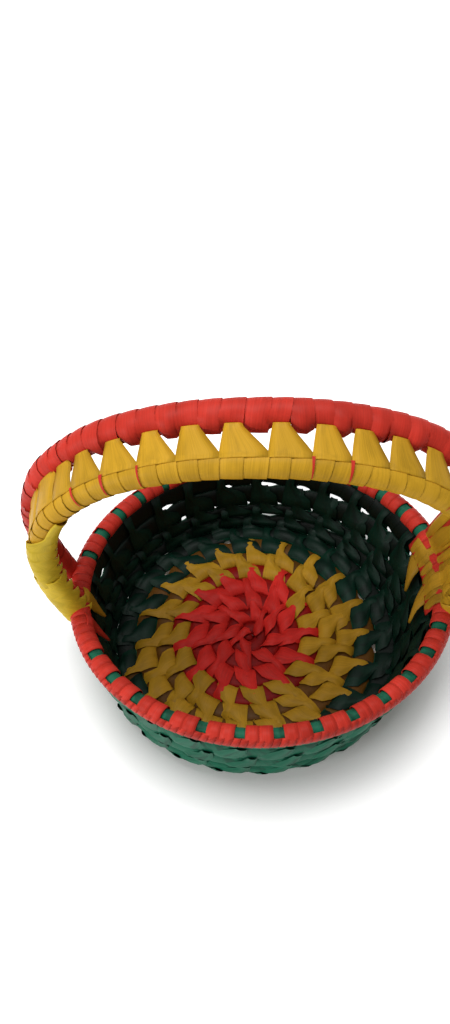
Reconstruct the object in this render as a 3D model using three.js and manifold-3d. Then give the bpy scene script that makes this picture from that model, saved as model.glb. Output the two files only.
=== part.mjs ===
// A coiled palm leaf basket with an arched handle, in millimetres, +Z up.
// A core of leaf ribs winds outward in one spiral, clockwise seen from above, from the middle of the floor
// to the rim, wrapped in red, then yellow, then green leaf. The handle is two wrapped coils side by side,
// held together by leaf tabs. The origin is under the middle of the basket, on the plane it stands on.
import * as THREE from "three";
import { mergeVertices } from "three/addons/utils/BufferGeometryUtils.js";
import Module from "manifold-3d";

const wasm = await Module();
wasm.setup();

const { PI, sin, cos } = Math;
const { clamp, degToRad, lerp, smoothstep } = THREE.MathUtils;

// Gaps
const CLEARANCE = 0.3;
const ROW_GAP = 0.6;

// Spiral: widths of the rows from the middle out, and the turns where it starts and where its leaf changes.
// Whole turns are at the back. There the rows run nearly level, and they step up at the front.
const ROW_WIDTHS = [8, 8.4, 11, 11.2, 9.6, 9.6, 11.2, 10, 8.5, 9, 15, 15.5];
const FIRST_TURN = -0.35;
const RED_END = 4.13;
const YELLOW_END = 6.708;
const LEVEL_BACK = 0.8;
const THINNEST_TAIL = 2.4;

// Thickness of the rows
const RED_THICKNESS = 6.4;
const YELLOW_THICKNESS = 7;
const GREEN_THICKNESS = 7.8;
const WALL_THICKNESS = 9.2;
const CORE_SHARE = 0.5;
const STANDING_CUT = 0.5;

// Section of the basket through its middle
const FLOOR_EDGE_RADIUS = 74.5;
const CORNER_RADIUS = 8;
const WALL_SLOPE = 78.7;
const RIM_HEIGHT = 54.3;
const FLOOR_OVAL = -0.06;
const RIM_OVAL = 0.0465;
const FLOOR_SHIFT_X = -6;
const FLOOR_SHIFT_Y = -1.3;

// Stitch tabs of the floor: each leaves its row, lies over the row before it and ends between two of its tabs
const FIRST_ROW_TABS = 6;
const TAB_SPACING = 20;
const STEM_WIDTH = 4.6;
const TAB_WIDTH = 11;
const TAB_THICKNESS = 0.9;
const TAB_LIFT = 0.15;
const TUCKED_SHARE = 0.8;
const STEM_SPREAD = 1.35;
const STEM_SHARE = 0.5;

// Rim
const RIM_COIL_RADIUS = 3.6;
const RIM_CORE_RADIUS = 2;
const BINDING_THICKNESS = 0.9;
const BINDING_TABS = 34;
const TAB_SHARE = 0.68;
const BAND_FROM = -45;
const BAND_TO = 45;
const TAB_TO = 225;
const LEAF_BEND = 45;

// Handle
const HANDLE_HALF_SPAN = 107.1;
const HANDLE_RISE = 110.2;
const FOOT_OUT = 4.7;
const WIDEST_SHARE = 0.42;
const SHOULDERS = [
  [0.95, 0.59],
  [0.86, 0.725],
  [0.63, 0.886],
  [0.32, 0.976],
];
const HANDLE_TILT = 18.8;
const HANDLE_TURN = -2.4;
const HANDLE_SHIFT_Y = -4.9;
const COIL_SPACING = 24.4;
const RED_HANDLE_RADIUS = 6.5;
const YELLOW_HANDLE_RADIUS = 5.9;
const HANDLE_CORE_RADIUS = 3.2;
const HANDLE_STEPS = 30;
const HANDLE_TABS = 17;
const HANDLE_TAB_WIDTH = 15.5;
const HANDLE_TAB_TIP = 9;
const HANDLE_TAB_THICKNESS = 1.1;

// Strips tucked over the rim at the handle's feet
const STRIP_WIDTH = 9;
const STRIP_THICKNESS = 0.9;
const STRIP_FROM = 135;
const STRIP_TO = 180;

// Facets
const STEPS_PER_TURN = 24;
const FINE_FROM = 2;
const SIDES = 6;
const CORE_SIDES = 4;

const RED = { color: 0xb8322a, roughness: 0.5, metalness: 0 };
const YELLOW = { color: 0xc89a35, roughness: 0.5, metalness: 0 };
const GREEN = { color: 0x1e5f4c, roughness: 0.5, metalness: 0 };
const RIBS = { color: 0xc9b27a, roughness: 0.8, metalness: 0 };

// Sizes that follow
const wallHalf = WALL_THICKNESS / 2;
const slope = degToRad(WALL_SLOPE);
const floorMiddle = wallHalf - STANDING_CUT;
const cornerLength = CORNER_RADIUS * slope;
const cornerTop = floorMiddle + CORNER_RADIUS * (1 - cos(slope));
const wallLength = (RIM_HEIGHT - cornerTop) / sin(slope);
const rimAt = FLOOR_EDGE_RADIUS + cornerLength + wallLength;
const bindingSeat = RIM_COIL_RADIUS + CLEARANCE;
const bentOut = (radius) => radius / cos(degToRad(LEAF_BEND / 2));
const bindingOuter = bentOut(bindingSeat) + BINDING_THICKNESS;
const wallTopAt = rimAt - RIM_COIL_RADIUS - CLEARANCE + ROW_GAP / 2;

// The section's middle line: a flat floor, a round corner and a straight wall. along is measured on it
// from the middle of the floor, and inward is the distance to the inside of the basket.
function sectionPoint(along, inward) {
  const past = along - FLOOR_EDGE_RADIUS;
  const turned = clamp(past / CORNER_RADIUS, 0, slope);
  const straight = past - turned * CORNER_RADIUS;
  const onFloor = past < 0 ? past : 0;
  const onWall = past < 0 ? 0 : straight;
  return {
    radius: FLOOR_EDGE_RADIUS + onFloor + (CORNER_RADIUS - inward) * sin(turned) + onWall * cos(turned),
    height: floorMiddle + CORNER_RADIUS - (CORNER_RADIUS - inward) * cos(turned) + onWall * sin(turned),
  };
}

// The floor is a little longer front to back and sits off centre, and the handle's spring pulls the rim wide.
function basketPoint(along, inward, azimuth) {
  const { radius, height } = sectionPoint(along, inward);
  const floorPart = 1 - clamp(along / FLOOR_EDGE_RADIUS, 0, 1);
  const wallPart = clamp((along - FLOOR_EDGE_RADIUS) / (rimAt - FLOOR_EDGE_RADIUS), 0, 1);
  const oval = FLOOR_OVAL * floorPart + RIM_OVAL * wallPart;
  return new THREE.Vector3(
    FLOOR_SHIFT_X * (1 - wallPart) + radius * (1 + oval) * cos(azimuth),
    FLOOR_SHIFT_Y * (1 - wallPart) + radius * (1 - oval) * sin(azimuth),
    height,
  );
}

const azimuthAt = (turn) => PI / 2 - turn * 2 * PI;

// The outer edge of the row at a turn. The next row starts there, so the rows always fit each other, and
// the last one thins out under the rim.
function rowEdge(turn) {
  const wound = turn - (LEVEL_BACK * cos(azimuthAt(turn))) / (2 * PI);
  const shareOf = (row) => clamp(wound - row + 1, 0, 1);
  const edge = ROW_WIDTHS.reduce((sum, width, row) => sum + width * shareOf(row), 0);
  return Math.min(edge, wallTopAt);
}

function rowAt(turn) {
  const outer = rowEdge(turn);
  const inner = rowEdge(turn - 1);
  const middle = (outer + inner) / 2;
  const yellowPart = smoothstep(turn, RED_END - 0.5, RED_END + 0.5);
  const greenPart = smoothstep(turn, YELLOW_END - 0.5, YELLOW_END + 0.5);
  const floorThickness = lerp(RED_THICKNESS, YELLOW_THICKNESS, yellowPart);
  const thickness = lerp(floorThickness, GREEN_THICKNESS, greenPart);
  return { middle, halfWidth: (outer - inner - ROW_GAP) / 2, halfThickness: thickness / 2 };
}

// A ring of points round a section, with flats on top and below and corners towards the neighbours
function ovalRing(sides, halfWidth, halfThickness, place) {
  const flat = sin(PI / 3);
  return Array.from({ length: sides }, (_, side) => {
    const angle = (2 * PI * side) / sides;
    return place(halfWidth * cos(angle), (halfThickness * sin(angle)) / (sides === SIDES ? flat : 1));
  });
}

// A closed solid through rings of points: capped at its ends, or joined end to end as a loop
function loft(rings, isLoop = false) {
  const sides = rings[0].length;
  const index = [];
  const corner = (ring, side) => (ring % rings.length) * sides + (side % sides);
  for (let ring = 0; ring < rings.length - (isLoop ? 0 : 1); ring++) {
    for (let side = 0; side < sides; side++) {
      const [a, b] = [corner(ring, side), corner(ring, side + 1)];
      const [c, d] = [corner(ring + 1, side + 1), corner(ring + 1, side)];
      index.push(a, b, c, a, c, d);
    }
  }
  for (let side = 1; side < sides - 1 && !isLoop; side++) {
    const last = rings.length - 1;
    index.push(corner(0, 0), corner(0, side + 1), corner(0, side));
    index.push(corner(last, 0), corner(last, side), corner(last, side + 1));
  }
  const geometry = new THREE.BufferGeometry().setFromPoints(rings.flat()).setIndex(index);
  return solidFrom(geometry);
}

function solidFrom(geometry) {
  const merged = mergeVertices(geometry, 1e-4);
  const solid = new wasm.Manifold(
    new wasm.Mesh({
      numProp: 3,
      vertProperties: merged.getAttribute("position").array,
      triVerts: new Uint32Array(merged.index.array),
    }),
  );
  if (solid.volume() > 0) return solid;
  const flipped = geometry.clone();
  flipped.setIndex(Array.from(geometry.index.array).reverse());
  return solidFrom(flipped);
}

function meshOf(name, solid, look) {
  const { vertProperties, triVerts } = solid.getMesh();
  const geometry = new THREE.BufferGeometry();
  geometry.setAttribute("position", new THREE.BufferAttribute(vertProperties, 3));
  geometry.setIndex(new THREE.BufferAttribute(triVerts, 1));
  geometry.computeVertexNormals();
  const mesh = new THREE.Mesh(geometry, new THREE.MeshStandardMaterial(look));
  mesh.name = name;
  return mesh;
}

// Turns at which the spiral has a ring of points, at the same azimuths in every row, and half as many in
// the tight rows
function spiralSteps(from, to) {
  const first = Math.floor(from * STEPS_PER_TURN + 1.05);
  const last = Math.ceil(to * STEPS_PER_TURN - 1.05);
  const between = Array.from({ length: last - first + 1 }, (_, step) => first + step);
  const kept = between.filter((step) => step % 2 === 0 || step > FINE_FROM * STEPS_PER_TURN);
  return [from, ...kept.map((step) => step / STEPS_PER_TURN), to];
}

// A tube along the spiral: the leaf's outside where it has SIDES, and else the core or the bore round it
function spiralTube(turns, sides, clearance = 0) {
  return loft(
    turns.map((turn) => {
      const row = rowAt(turn);
      const coreSize = CORE_SHARE * Math.min(row.halfWidth, row.halfThickness) + clearance;
      const halfWidth = sides === SIDES ? row.halfWidth : coreSize;
      const halfThickness = sides === SIDES ? row.halfThickness : coreSize;
      return ovalRing(sides, halfWidth, halfThickness, (across, up) =>
        basketPoint(row.middle + across, row.halfThickness - wallHalf + up, azimuthAt(turn)),
      );
    }),
  );
}

// The turn where the last row has thinned to a tail
function tailEnd() {
  let turn = ROW_WIDTHS.length + 1;
  while (2 * rowAt(turn).halfWidth < THINNEST_TAIL) turn -= 0.005;
  return turn;
}

// The turns at which one stretch of the spiral has points, with half a clearance left free at each end
function stretchSteps(from, to) {
  const freeAt = (turn) => CLEARANCE / 2 / (2 * PI * rowAt(turn).middle);
  return spiralSteps(from + freeAt(from), to - freeAt(to));
}

// A place on the facets between the spiral's rings of points
function facetPoint(along, inward, turn) {
  const step = Math.floor(turn * STEPS_PER_TURN + 1e-6);
  const before = basketPoint(along, inward, azimuthAt(step / STEPS_PER_TURN));
  const after = basketPoint(along, inward, azimuthAt((step + 1) / STEPS_PER_TURN));
  const part = turn * STEPS_PER_TURN - step;
  const toBefore = ((2 * PI) / STEPS_PER_TURN) * part;
  const toAfter = (2 * PI) / STEPS_PER_TURN - toBefore;
  return before.lerp(after, sin(toBefore) / (sin(toBefore) + sin(toAfter)));
}

const turnsOver = (across, along) => across / (2 * PI * along);

// The stitch tabs. Each tucks in midway between the stems of two tabs of the row before it, and where the
// rows have grown by a whole tab's spacing two share the place of one.
function tabPlaces(lastTurn) {
  const tabs = Array.from({ length: FIRST_ROW_TABS + 1 }, (_, tab) => ({
    edge: FIRST_TURN + (tab + 0.5) / FIRST_ROW_TABS,
    stemWidth: 0,
  }));
  let owed = 0;
  for (let tab = 0; ; tab++) {
    const [here, there] = [tabs[tab], tabs[tab + 1]];
    if (there.edge + 1 > lastTurn) return tabs;
    const before = rowAt((here.edge + there.edge) / 2);
    const row = rowAt((here.edge + there.edge) / 2 + 1);
    const tucked = before.middle - before.halfWidth * TUCKED_SHARE;
    owed += ((there.edge - here.edge) * 2 * PI * sectionPoint(row.middle, 0).radius) / TAB_SPACING - 1;
    const count = owed > 0.5 ? 2 : 1;
    owed -= count - 1;
    const first = here.edge + 1 + turnsOver(here.stemWidth * STEM_SPREAD + CLEARANCE, tucked);
    const room = (there.edge + 1 - first) / count;
    const width = Math.min(room * 2 * PI * tucked - CLEARANCE, TAB_WIDTH);
    for (let place = 0.5; place < count && width > THINNEST_TAIL; place++) {
      const turn = first + room * place - turnsOver(CLEARANCE / 2, tucked);
      const edge = turn - turnsOver(width / 2, tucked);
      tabs.push({ turn, edge, width, stemWidth: Math.min(STEM_WIDTH, width * STEM_SHARE) });
    }
  }
}

// A tab has a narrow stem sunk in its row, one edge straight across the rows and the other slanting, and is
// widest where it tucks in beyond the row before it.
function stitchTab({ turn, edge, width, stemWidth }) {
  const [row, before] = [rowAt(turn), rowAt(turn - 1)];
  const topOf = ({ halfThickness }) => 2 * halfThickness - wallHalf;
  const lifted = topOf(before) + CLEARANCE + TAB_LIFT;
  const stations = [
    [row.middle - row.halfWidth * 0.4, topOf(row) - TAB_THICKNESS * 0.6, stemWidth],
    [before.middle, lifted, (stemWidth + width) / 2],
    [before.middle - before.halfWidth * TUCKED_SHARE, lifted - TAB_LIFT, width],
  ];
  return loft(
    stations.map(([along, inward, wide]) => {
      const far = edge + turnsOver(wide, along);
      return [
        facetPoint(along, inward, edge),
        facetPoint(along, inward, far),
        facetPoint(along, inward + TAB_THICKNESS, far),
        facetPoint(along, inward + TAB_THICKNESS, edge),
      ];
    }),
  );
}

// The leaf round one stretch of the spiral, with its stitch tabs: a tube that its core runs through
function wrappedCoil(turns, tabs) {
  const past = 1 / STEPS_PER_TURN;
  const bore = [turns[0] - past, ...turns, turns.at(-1) + past];
  const tube = spiralTube(turns, SIDES).subtract(spiralTube(bore, CORE_SIDES, CLEARANCE));
  return cutFlat(wasm.Manifold.union([tube, ...tabs.map(stitchTab)]));
}

function boxSolid(geometry) {
  geometry.deleteAttribute("normal");
  geometry.deleteAttribute("uv");
  return solidFrom(geometry);
}

// What reaches below the plane that the basket stands on is cut off flat.
function cutFlat(solid) {
  const [across, deep] = [4 * rimAt, WALL_THICKNESS];
  return solid.subtract(boxSolid(new THREE.BoxGeometry(across, across, deep).translate(0, 0, -deep / 2)));
}

// Ring of the rim: every piece of the rim has its points at the same azimuths.
const rimSteps = BINDING_TABS * 2;
const rimAzimuth = (step) => (2 * PI * step) / rimSteps;
const rimPoint = (radius, angle, azimuth) =>
  basketPoint(rimAt + radius * cos(angle - slope), radius * sin(angle - slope), azimuth);

function rimTube(radius, sides, every = 1) {
  const rings = [];
  for (let step = 0; step < rimSteps; step += every) {
    rings.push(
      Array.from({ length: sides }, (_, side) =>
        rimPoint(radius, (2 * PI * (side + 0.5)) / sides, rimAzimuth(step)),
      ),
    );
  }
  return loft(rings, true);
}

// A strip of leaf bent round a seat on the rim from one angle to another, 0 at the outside and 90 on top
function rimStrip(fromAngle, toAngle, seat, thickness, azimuths, isLoop = false) {
  const bends = Math.max(1, Math.round((toAngle - fromAngle) / LEAF_BEND));
  const angles = Array.from({ length: bends + 1 }, (_, i) => degToRad(lerp(fromAngle, toAngle, i / bends)));
  const inner = bentOut(seat);
  const outer = inner + thickness;
  const rings = azimuths.map((azimuth) => [
    ...angles.map((angle) => rimPoint(outer, angle, azimuth)),
    ...angles.toReversed().map((angle) => rimPoint(inner, angle, azimuth)),
  ]);
  return loftBent(rings, isLoop);
}

// As loft, with end caps that follow a bent strip
function loftBent(rings, isLoop) {
  const sides = rings[0].length;
  const half = sides / 2;
  const index = [];
  const corner = (ring, side) => (ring % rings.length) * sides + (side % sides);
  for (let ring = 0; ring < rings.length - (isLoop ? 0 : 1); ring++) {
    for (let side = 0; side < sides; side++) {
      const [a, b] = [corner(ring, side), corner(ring, side + 1)];
      const [c, d] = [corner(ring + 1, side + 1), corner(ring + 1, side)];
      index.push(a, b, c, a, c, d);
    }
  }
  for (let side = 0; side < half - 1 && !isLoop; side++) {
    for (const ring of [0, rings.length - 1]) {
      const [a, b] = [corner(ring, side), corner(ring, side + 1)];
      const [c, d] = [corner(ring, sides - 2 - side), corner(ring, sides - 1 - side)];
      if (ring === 0) index.push(a, c, b, a, d, c);
      else index.push(a, b, c, a, c, d);
    }
  }
  return solidFrom(new THREE.BufferGeometry().setFromPoints(rings.flat()).setIndex(index));
}

// The rim coil starts and ends at the seam, under the left foot of the handle, and its core runs on.
function rimCoil() {
  const seam = azimuthAt(YELLOW_END);
  const joint = new THREE.BoxGeometry(rimAt / 2, CLEARANCE, 4 * RIM_COIL_RADIUS)
    .translate(rimAt * 0.75, 0, RIM_HEIGHT)
    .rotateZ(seam);
  const bore = rimTube(RIM_CORE_RADIUS + CLEARANCE, CORE_SIDES, 2);
  return rimTube(RIM_COIL_RADIUS, SIDES).subtract(bore).subtract(boxSolid(joint));
}

function rimBinding() {
  const all = Array.from({ length: rimSteps }, (_, step) => rimAzimuth(step));
  let solid = rimStrip(BAND_FROM, BAND_TO, bindingSeat, BINDING_THICKNESS, all, true);
  for (let tab = 0; tab < BINDING_TABS; tab++) {
    const start = (2 * PI * tab) / BINDING_TABS;
    const edges = [start, start + (TAB_SHARE * 2 * PI) / BINDING_TABS];
    solid = solid.add(rimStrip(BAND_TO - LEAF_BEND, TAB_TO, bindingSeat, BINDING_THICKNESS, edges));
  }
  return solid;
}

// The handle's middle line: a flat arch that stands on the rim's outer shoulder and leans out to its widest
function archHalf() {
  const foot = rimPoint(FOOT_OUT, slope, 0).x;
  const lean = lerp(foot, HANDLE_HALF_SPAN, 0.9);
  return [
    [foot, 0],
    [lean, HANDLE_RISE * WIDEST_SHARE * 0.56],
    [HANDLE_HALF_SPAN, HANDLE_RISE * WIDEST_SHARE],
    ...SHOULDERS.map(([out, up]) => [HANDLE_HALF_SPAN * out, HANDLE_RISE * up]),
  ];
}

const right = archHalf().map(([out, up]) => new THREE.Vector3(out, 0, up));
const left = right.map(({ x, z }) => new THREE.Vector3(-x, 0, z));
const archTop = new THREE.Vector3(0, 0, HANDLE_RISE);
const archCurve = new THREE.CatmullRomCurve3([...left, archTop, ...right.toReversed()], false, "centripetal");
archCurve.arcLengthDivisions = 600;

function handleFrame(share) {
  const middle = archCurve.getPointAt(clamp(share, 0, 1));
  const tangent = archCurve.getTangentAt(clamp(share, 0, 1));
  const outward = new THREE.Vector3(-tangent.z, 0, tangent.x);
  const side = new THREE.Vector3(0, 1, 0);
  const tilt = degToRad(HANDLE_TILT);
  const back = side.clone().multiplyScalar(cos(tilt)).addScaledVector(outward, sin(tilt));
  const up = side.clone().multiplyScalar(-sin(tilt)).addScaledVector(outward, cos(tilt));
  return { middle, back, up };
}

// A point beside the arch: back is towards the red coil and up is away from the basket.
function handlePoint(share, backBy, upBy) {
  const { middle, back, up } = handleFrame(share);
  return middle
    .clone()
    .addScaledVector(back, backBy)
    .addScaledVector(up, upBy)
    .add(new THREE.Vector3(0, HANDLE_SHIFT_Y, 0))
    .applyAxisAngle(new THREE.Vector3(0, 0, 1), degToRad(HANDLE_TURN))
    .add(new THREE.Vector3(0, 0, RIM_HEIGHT));
}

function handleTube(backBy, radius, sides, isBore = false) {
  const shares = Array.from({ length: HANDLE_STEPS + 1 }, (_, step) => step / HANDLE_STEPS);
  const rings = shares.map((share) =>
    ovalRing(sides, radius, radius * sin(PI / 3), (across, up) => handlePoint(share, backBy + across, up)),
  );
  if (isBore) {
    const longer = (ring) => ring.map((point) => point.clone().setZ(point.z - 4));
    rings.unshift(longer(rings[0]));
    rings.push(longer(rings.at(-1)));
  }
  return loft(rings);
}

// The feet sit on the rim, so what they would share with it is cut away with a clearance.
const rimSeat = rimTube((bindingOuter + CLEARANCE) / cos(PI / 8), 8);

function handleCoil(backBy, radius) {
  const bore = handleTube(backBy, HANDLE_CORE_RADIUS + CLEARANCE, CORE_SIDES, true);
  return handleTube(backBy, radius, SIDES).subtract(bore).subtract(rimSeat);
}

const redBack = COIL_SPACING / 2;
const yellowBack = -COIL_SPACING / 2;

// A tab leaves the top of the yellow coil, narrows on its right across the gap and ends on the red coil
function handleTab(share) {
  const length = archCurve.getLength();
  const stations = [
    [yellowBack, YELLOW_HANDLE_RADIUS * 0.6, HANDLE_TAB_WIDTH],
    [yellowBack + YELLOW_HANDLE_RADIUS, YELLOW_HANDLE_RADIUS * 0.75, HANDLE_TAB_WIDTH],
    [redBack - RED_HANDLE_RADIUS - CLEARANCE, RED_HANDLE_RADIUS * 0.45 + CLEARANCE, HANDLE_TAB_TIP],
    [redBack - RED_HANDLE_RADIUS * 0.55, RED_HANDLE_RADIUS * sin(PI / 3) + CLEARANCE, HANDLE_TAB_TIP],
  ];
  return loft(
    stations.map(([backBy, upBy, width]) => {
      const start = share - HANDLE_TAB_WIDTH / 2 / length;
      const end = start + width / length;
      return [
        handlePoint(start, backBy, upBy),
        handlePoint(end, backBy, upBy),
        handlePoint(end, backBy, upBy + HANDLE_TAB_THICKNESS),
        handlePoint(start, backBy, upBy + HANDLE_TAB_THICKNESS),
      ];
    }),
  );
}

function yellowHandle() {
  let solid = handleCoil(yellowBack, YELLOW_HANDLE_RADIUS);
  for (let tab = 0; tab < HANDLE_TABS; tab++) {
    solid = solid.add(handleTab((tab + 1) / (HANDLE_TABS + 1)));
  }
  return solid;
}

// A strip end that comes over the rim beside a foot and lies on the inside of the wall, clear of the foot
function tuckedStrip(azimuthDegrees) {
  const half = STRIP_WIDTH / 2 / sectionPoint(rimAt, 0).radius;
  const middle = degToRad(azimuthDegrees);
  const edges = [middle - half, middle + half];
  return rimStrip(STRIP_FROM, STRIP_TO, bindingOuter + CLEARANCE, STRIP_THICKNESS, edges)
    .subtract(handleTube(redBack, RED_HANDLE_RADIUS + CLEARANCE, SIDES))
    .subtract(handleTube(yellowBack, YELLOW_HANDLE_RADIUS + CLEARANCE, SIDES));
}

// Least distance between one turn's tube and the next, on points round both sections
function leastGap() {
  let least = Infinity;
  for (let turn = FIRST_TURN + 1; turn < tailEnd(); turn += 1 / STEPS_PER_TURN) {
    const [outer, inner] = [rowAt(turn), rowAt(turn - 1)];
    const azimuth = azimuthAt(turn);
    const from = basketPoint(outer.middle - outer.halfWidth, outer.halfThickness - wallHalf, azimuth);
    const to = basketPoint(inner.middle + inner.halfWidth, inner.halfThickness - wallHalf, azimuth);
    least = Math.min(least, from.distanceTo(to));
  }
  return least;
}

const basket = new THREE.Group();
const greenTurns = Array.from({ length: 5 }, (_, row) => YELLOW_END + row);
const coils = [
  ["floor_coil_red", FIRST_TURN, RED_END, RED],
  ["floor_coil_yellow", RED_END, YELLOW_END, YELLOW],
  ["floor_coil_green", greenTurns[0], greenTurns[1], GREEN],
  ["wall_coil_1", greenTurns[1], greenTurns[2], GREEN],
  ["wall_coil_2", greenTurns[2], greenTurns[3], GREEN],
  ["wall_coil_3", greenTurns[3], greenTurns[4], GREEN],
  ["wall_coil_4", greenTurns[4], tailEnd(), GREEN],
];
const coilTurns = coils.map(([, from, to]) => stretchSteps(from, to));
const onFloor = ({ edge, width }) => width && rowAt(edge - 1).middle < FLOOR_EDGE_RADIUS - TAB_WIDTH / 4;
const tabs = tabPlaces(tailEnd()).filter(onFloor);
coils.forEach(([name, from, to, look], coil) => {
  const stem = turnsOver(STEM_WIDTH + CLEARANCE, rowAt(to).middle);
  const own = tabs.filter(({ edge }) => edge > from && edge < to - stem);
  basket.add(meshOf(name, wrappedCoil(coilTurns[coil], own), look));
});
basket.add(meshOf("core_spiral", spiralTube(coilTurns.flat(), CORE_SIDES), RIBS));

basket.add(meshOf("rim_coil_green", rimCoil(), GREEN));
basket.add(meshOf("rim_core", rimTube(RIM_CORE_RADIUS, CORE_SIDES, 2), RIBS));
basket.add(meshOf("rim_binding_red", rimBinding(), RED));

basket.add(meshOf("handle_coil_red", handleCoil(redBack, RED_HANDLE_RADIUS), RED));
basket.add(meshOf("handle_coil_yellow", yellowHandle(), YELLOW));
const handleCore = (backBy) => handleTube(backBy, HANDLE_CORE_RADIUS, CORE_SIDES).subtract(rimSeat);
basket.add(meshOf("handle_core_back", handleCore(redBack), RIBS));
basket.add(meshOf("handle_core_front", handleCore(yellowBack), RIBS));

const strips = [
  ["left_strip_yellow", 184, YELLOW],
  ["left_strip_red", 192, RED],
  ["right_strip_yellow_1", 2, YELLOW],
  ["right_strip_yellow_2", -8, YELLOW],
];
for (const [name, azimuth, look] of strips) {
  basket.add(meshOf(name, tuckedStrip(azimuth), look));
}

console.log("least gap between neighbouring turns " + leastGap().toFixed(2) + " mm");

// The origin goes under the middle of the whole basket, handle included.
const middle = new THREE.Box3().setFromObject(basket).getCenter(new THREE.Vector3());
basket.position.set(-middle.x, -middle.y, 0);

export default basket;
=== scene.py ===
"""A coiled palm leaf basket: wrapped coils, stitch tabs, a bound rim and a two-coil handle."""
import random
from bisect import bisect
from collections import namedtuple
from math import cos, degrees, pi, radians, sin, tau

import bmesh
import bpy
from mathutils import Matrix, Vector


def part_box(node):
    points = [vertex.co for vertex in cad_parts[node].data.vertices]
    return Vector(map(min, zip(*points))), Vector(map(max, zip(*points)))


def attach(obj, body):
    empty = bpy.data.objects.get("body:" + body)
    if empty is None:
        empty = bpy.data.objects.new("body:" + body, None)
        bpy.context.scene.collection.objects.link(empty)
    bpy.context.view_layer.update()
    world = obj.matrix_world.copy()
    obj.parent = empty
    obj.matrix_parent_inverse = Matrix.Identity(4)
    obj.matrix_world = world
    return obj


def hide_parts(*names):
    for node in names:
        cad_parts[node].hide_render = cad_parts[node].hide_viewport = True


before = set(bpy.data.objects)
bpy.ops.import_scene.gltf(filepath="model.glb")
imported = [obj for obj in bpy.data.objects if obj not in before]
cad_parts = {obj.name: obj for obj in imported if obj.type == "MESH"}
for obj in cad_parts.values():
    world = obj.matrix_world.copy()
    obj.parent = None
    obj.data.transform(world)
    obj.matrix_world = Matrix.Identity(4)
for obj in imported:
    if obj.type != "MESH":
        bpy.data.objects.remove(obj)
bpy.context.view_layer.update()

bl_info = {
    "name": "Palm Leaf Basket",
    "version": (1, 0, 0),
    "blender": (4, 5, 0),
    "location": "View3D > Sidebar > Basket",
    "description": "Builds a coiled palm leaf basket over its solid model",
    "category": "Add Mesh",
}

MM = 0.001
SEED = 7
# Where two rows of the wall stand apart: distance from the floor's middle, azimuth in degrees, and length
WALL_HOLES = (
    (96, 119, 5), (96, 107, 6), (96, 94, 9), (97, 81, 6), (98, 67, 6), (97, 49, 7), (97, 39, 6),
    (96, 27, 6), (96, 11, 10), (96, -2, 6), (111, 164, 4), (111, 126, 6), (110, 101, 6), (110, 86, 11),
    (112, 71, 6), (113, 58, 8), (113, 46, 7), (114, 34, 6), (114, 20, 7), (86, 163, 5), (86, 148, 5),
    (86, 133, 5), (86, 82, 8), (86, 70, 9), (87, 55, 6), (126, 52, 5), (126, 40, 6), (127, 27, 8),
    (74, 300, 8), (74, 20, 7), (73, 352, 8), (73, 100, 7), (73, 140, 7), (73, 200, 7), (111, 273, 5),
)
# How strongly painted shade darkens the part of each stitch tab that lies inside the basket
TAB_PAINTED_SHADE = {"red": 0.0, "yellow": 0.3, "green": 0.88, "wall": 0.93}


# Sizes and colours that a user would change


def number(name, description, default):
    return bpy.props.FloatProperty(name=name, description=description, default=default)


def length(name, description, default):
    return number(name, f"{description}, in millimetres", default)


def colour(name, description, default):
    return bpy.props.FloatVectorProperty(
        name=name, description=description, default=default, size=3, min=0.0, soft_max=1.0, subtype="COLOR"
    )


class BasketShape(bpy.types.PropertyGroup):
    row_widths: bpy.props.FloatVectorProperty(
        name="Row widths",
        description="Width of each row of the coil from the middle out, in millimetres",
        default=(8, 8.4, 11, 11.2, 9.6, 9.6, 11.2, 10, 8.5, 9, 15, 15.5),
        size=12,
    )
    red_end: number("Red end", "Turn at which the red leaf gives way to yellow", 4.13)
    yellow_end: number("Yellow end", "Turn at which the yellow leaf gives way to green", 6.708)
    level_back: number("Level back", "How level the rows run at the back, 1 being quite level", 0.8)
    skin: length("Skin", "Thickness of the floor and wall with their stitch tabs", 9.2)
    standing_cut: length("Standing cut", "How far the floor is pressed flat", 0.5)
    floor_coil: length("Floor coil", "Thickness of the floor's coil", 5.7)
    wall_coil: length("Wall coil", "Thickness of the wall's coil", 6.4)
    row_gap: length("Row gap", "Gap between the rows", 0.2)
    hole: length("Hole", "Height of a hole between two rows", 3.4)
    floor_radius: length("Floor radius", "Radius of the flat floor", 74.5)
    corner_radius: length("Corner radius", "Radius of the corner's middle line", 8.0)
    wall_slope: number("Wall slope", "Slope of the wall above the level in degrees", 78.7)
    rim_height: length("Rim height", "Height of the rim coil's middle", 54.3)
    floor_oval: number("Floor oval", "Stretch of the floor along X", -0.06)
    rim_oval: number("Rim oval", "Stretch of the rim along X", 0.0465)
    floor_shift: bpy.props.FloatVectorProperty(
        name="Floor shift",
        description="Place of the floor's middle, in millimetres",
        default=(-6, -1.3),
        size=2,
    )
    strip_width: length("Strip width", "Width of one wrap of leaf", 9.0)
    sunk: length("Sunk", "How far the wound leaf lies below the stitch tabs", 1.3)
    stem_width: length("Stem width", "Width of a stitch tab at its root", 4.8)
    tab_spacing: length("Tab spacing", "Spacing of the stitch tabs in the yellow rows", 15.5)
    first_tab: number("First tab", "Turn at which the first tab lies over the row before its own", -0.35)


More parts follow.
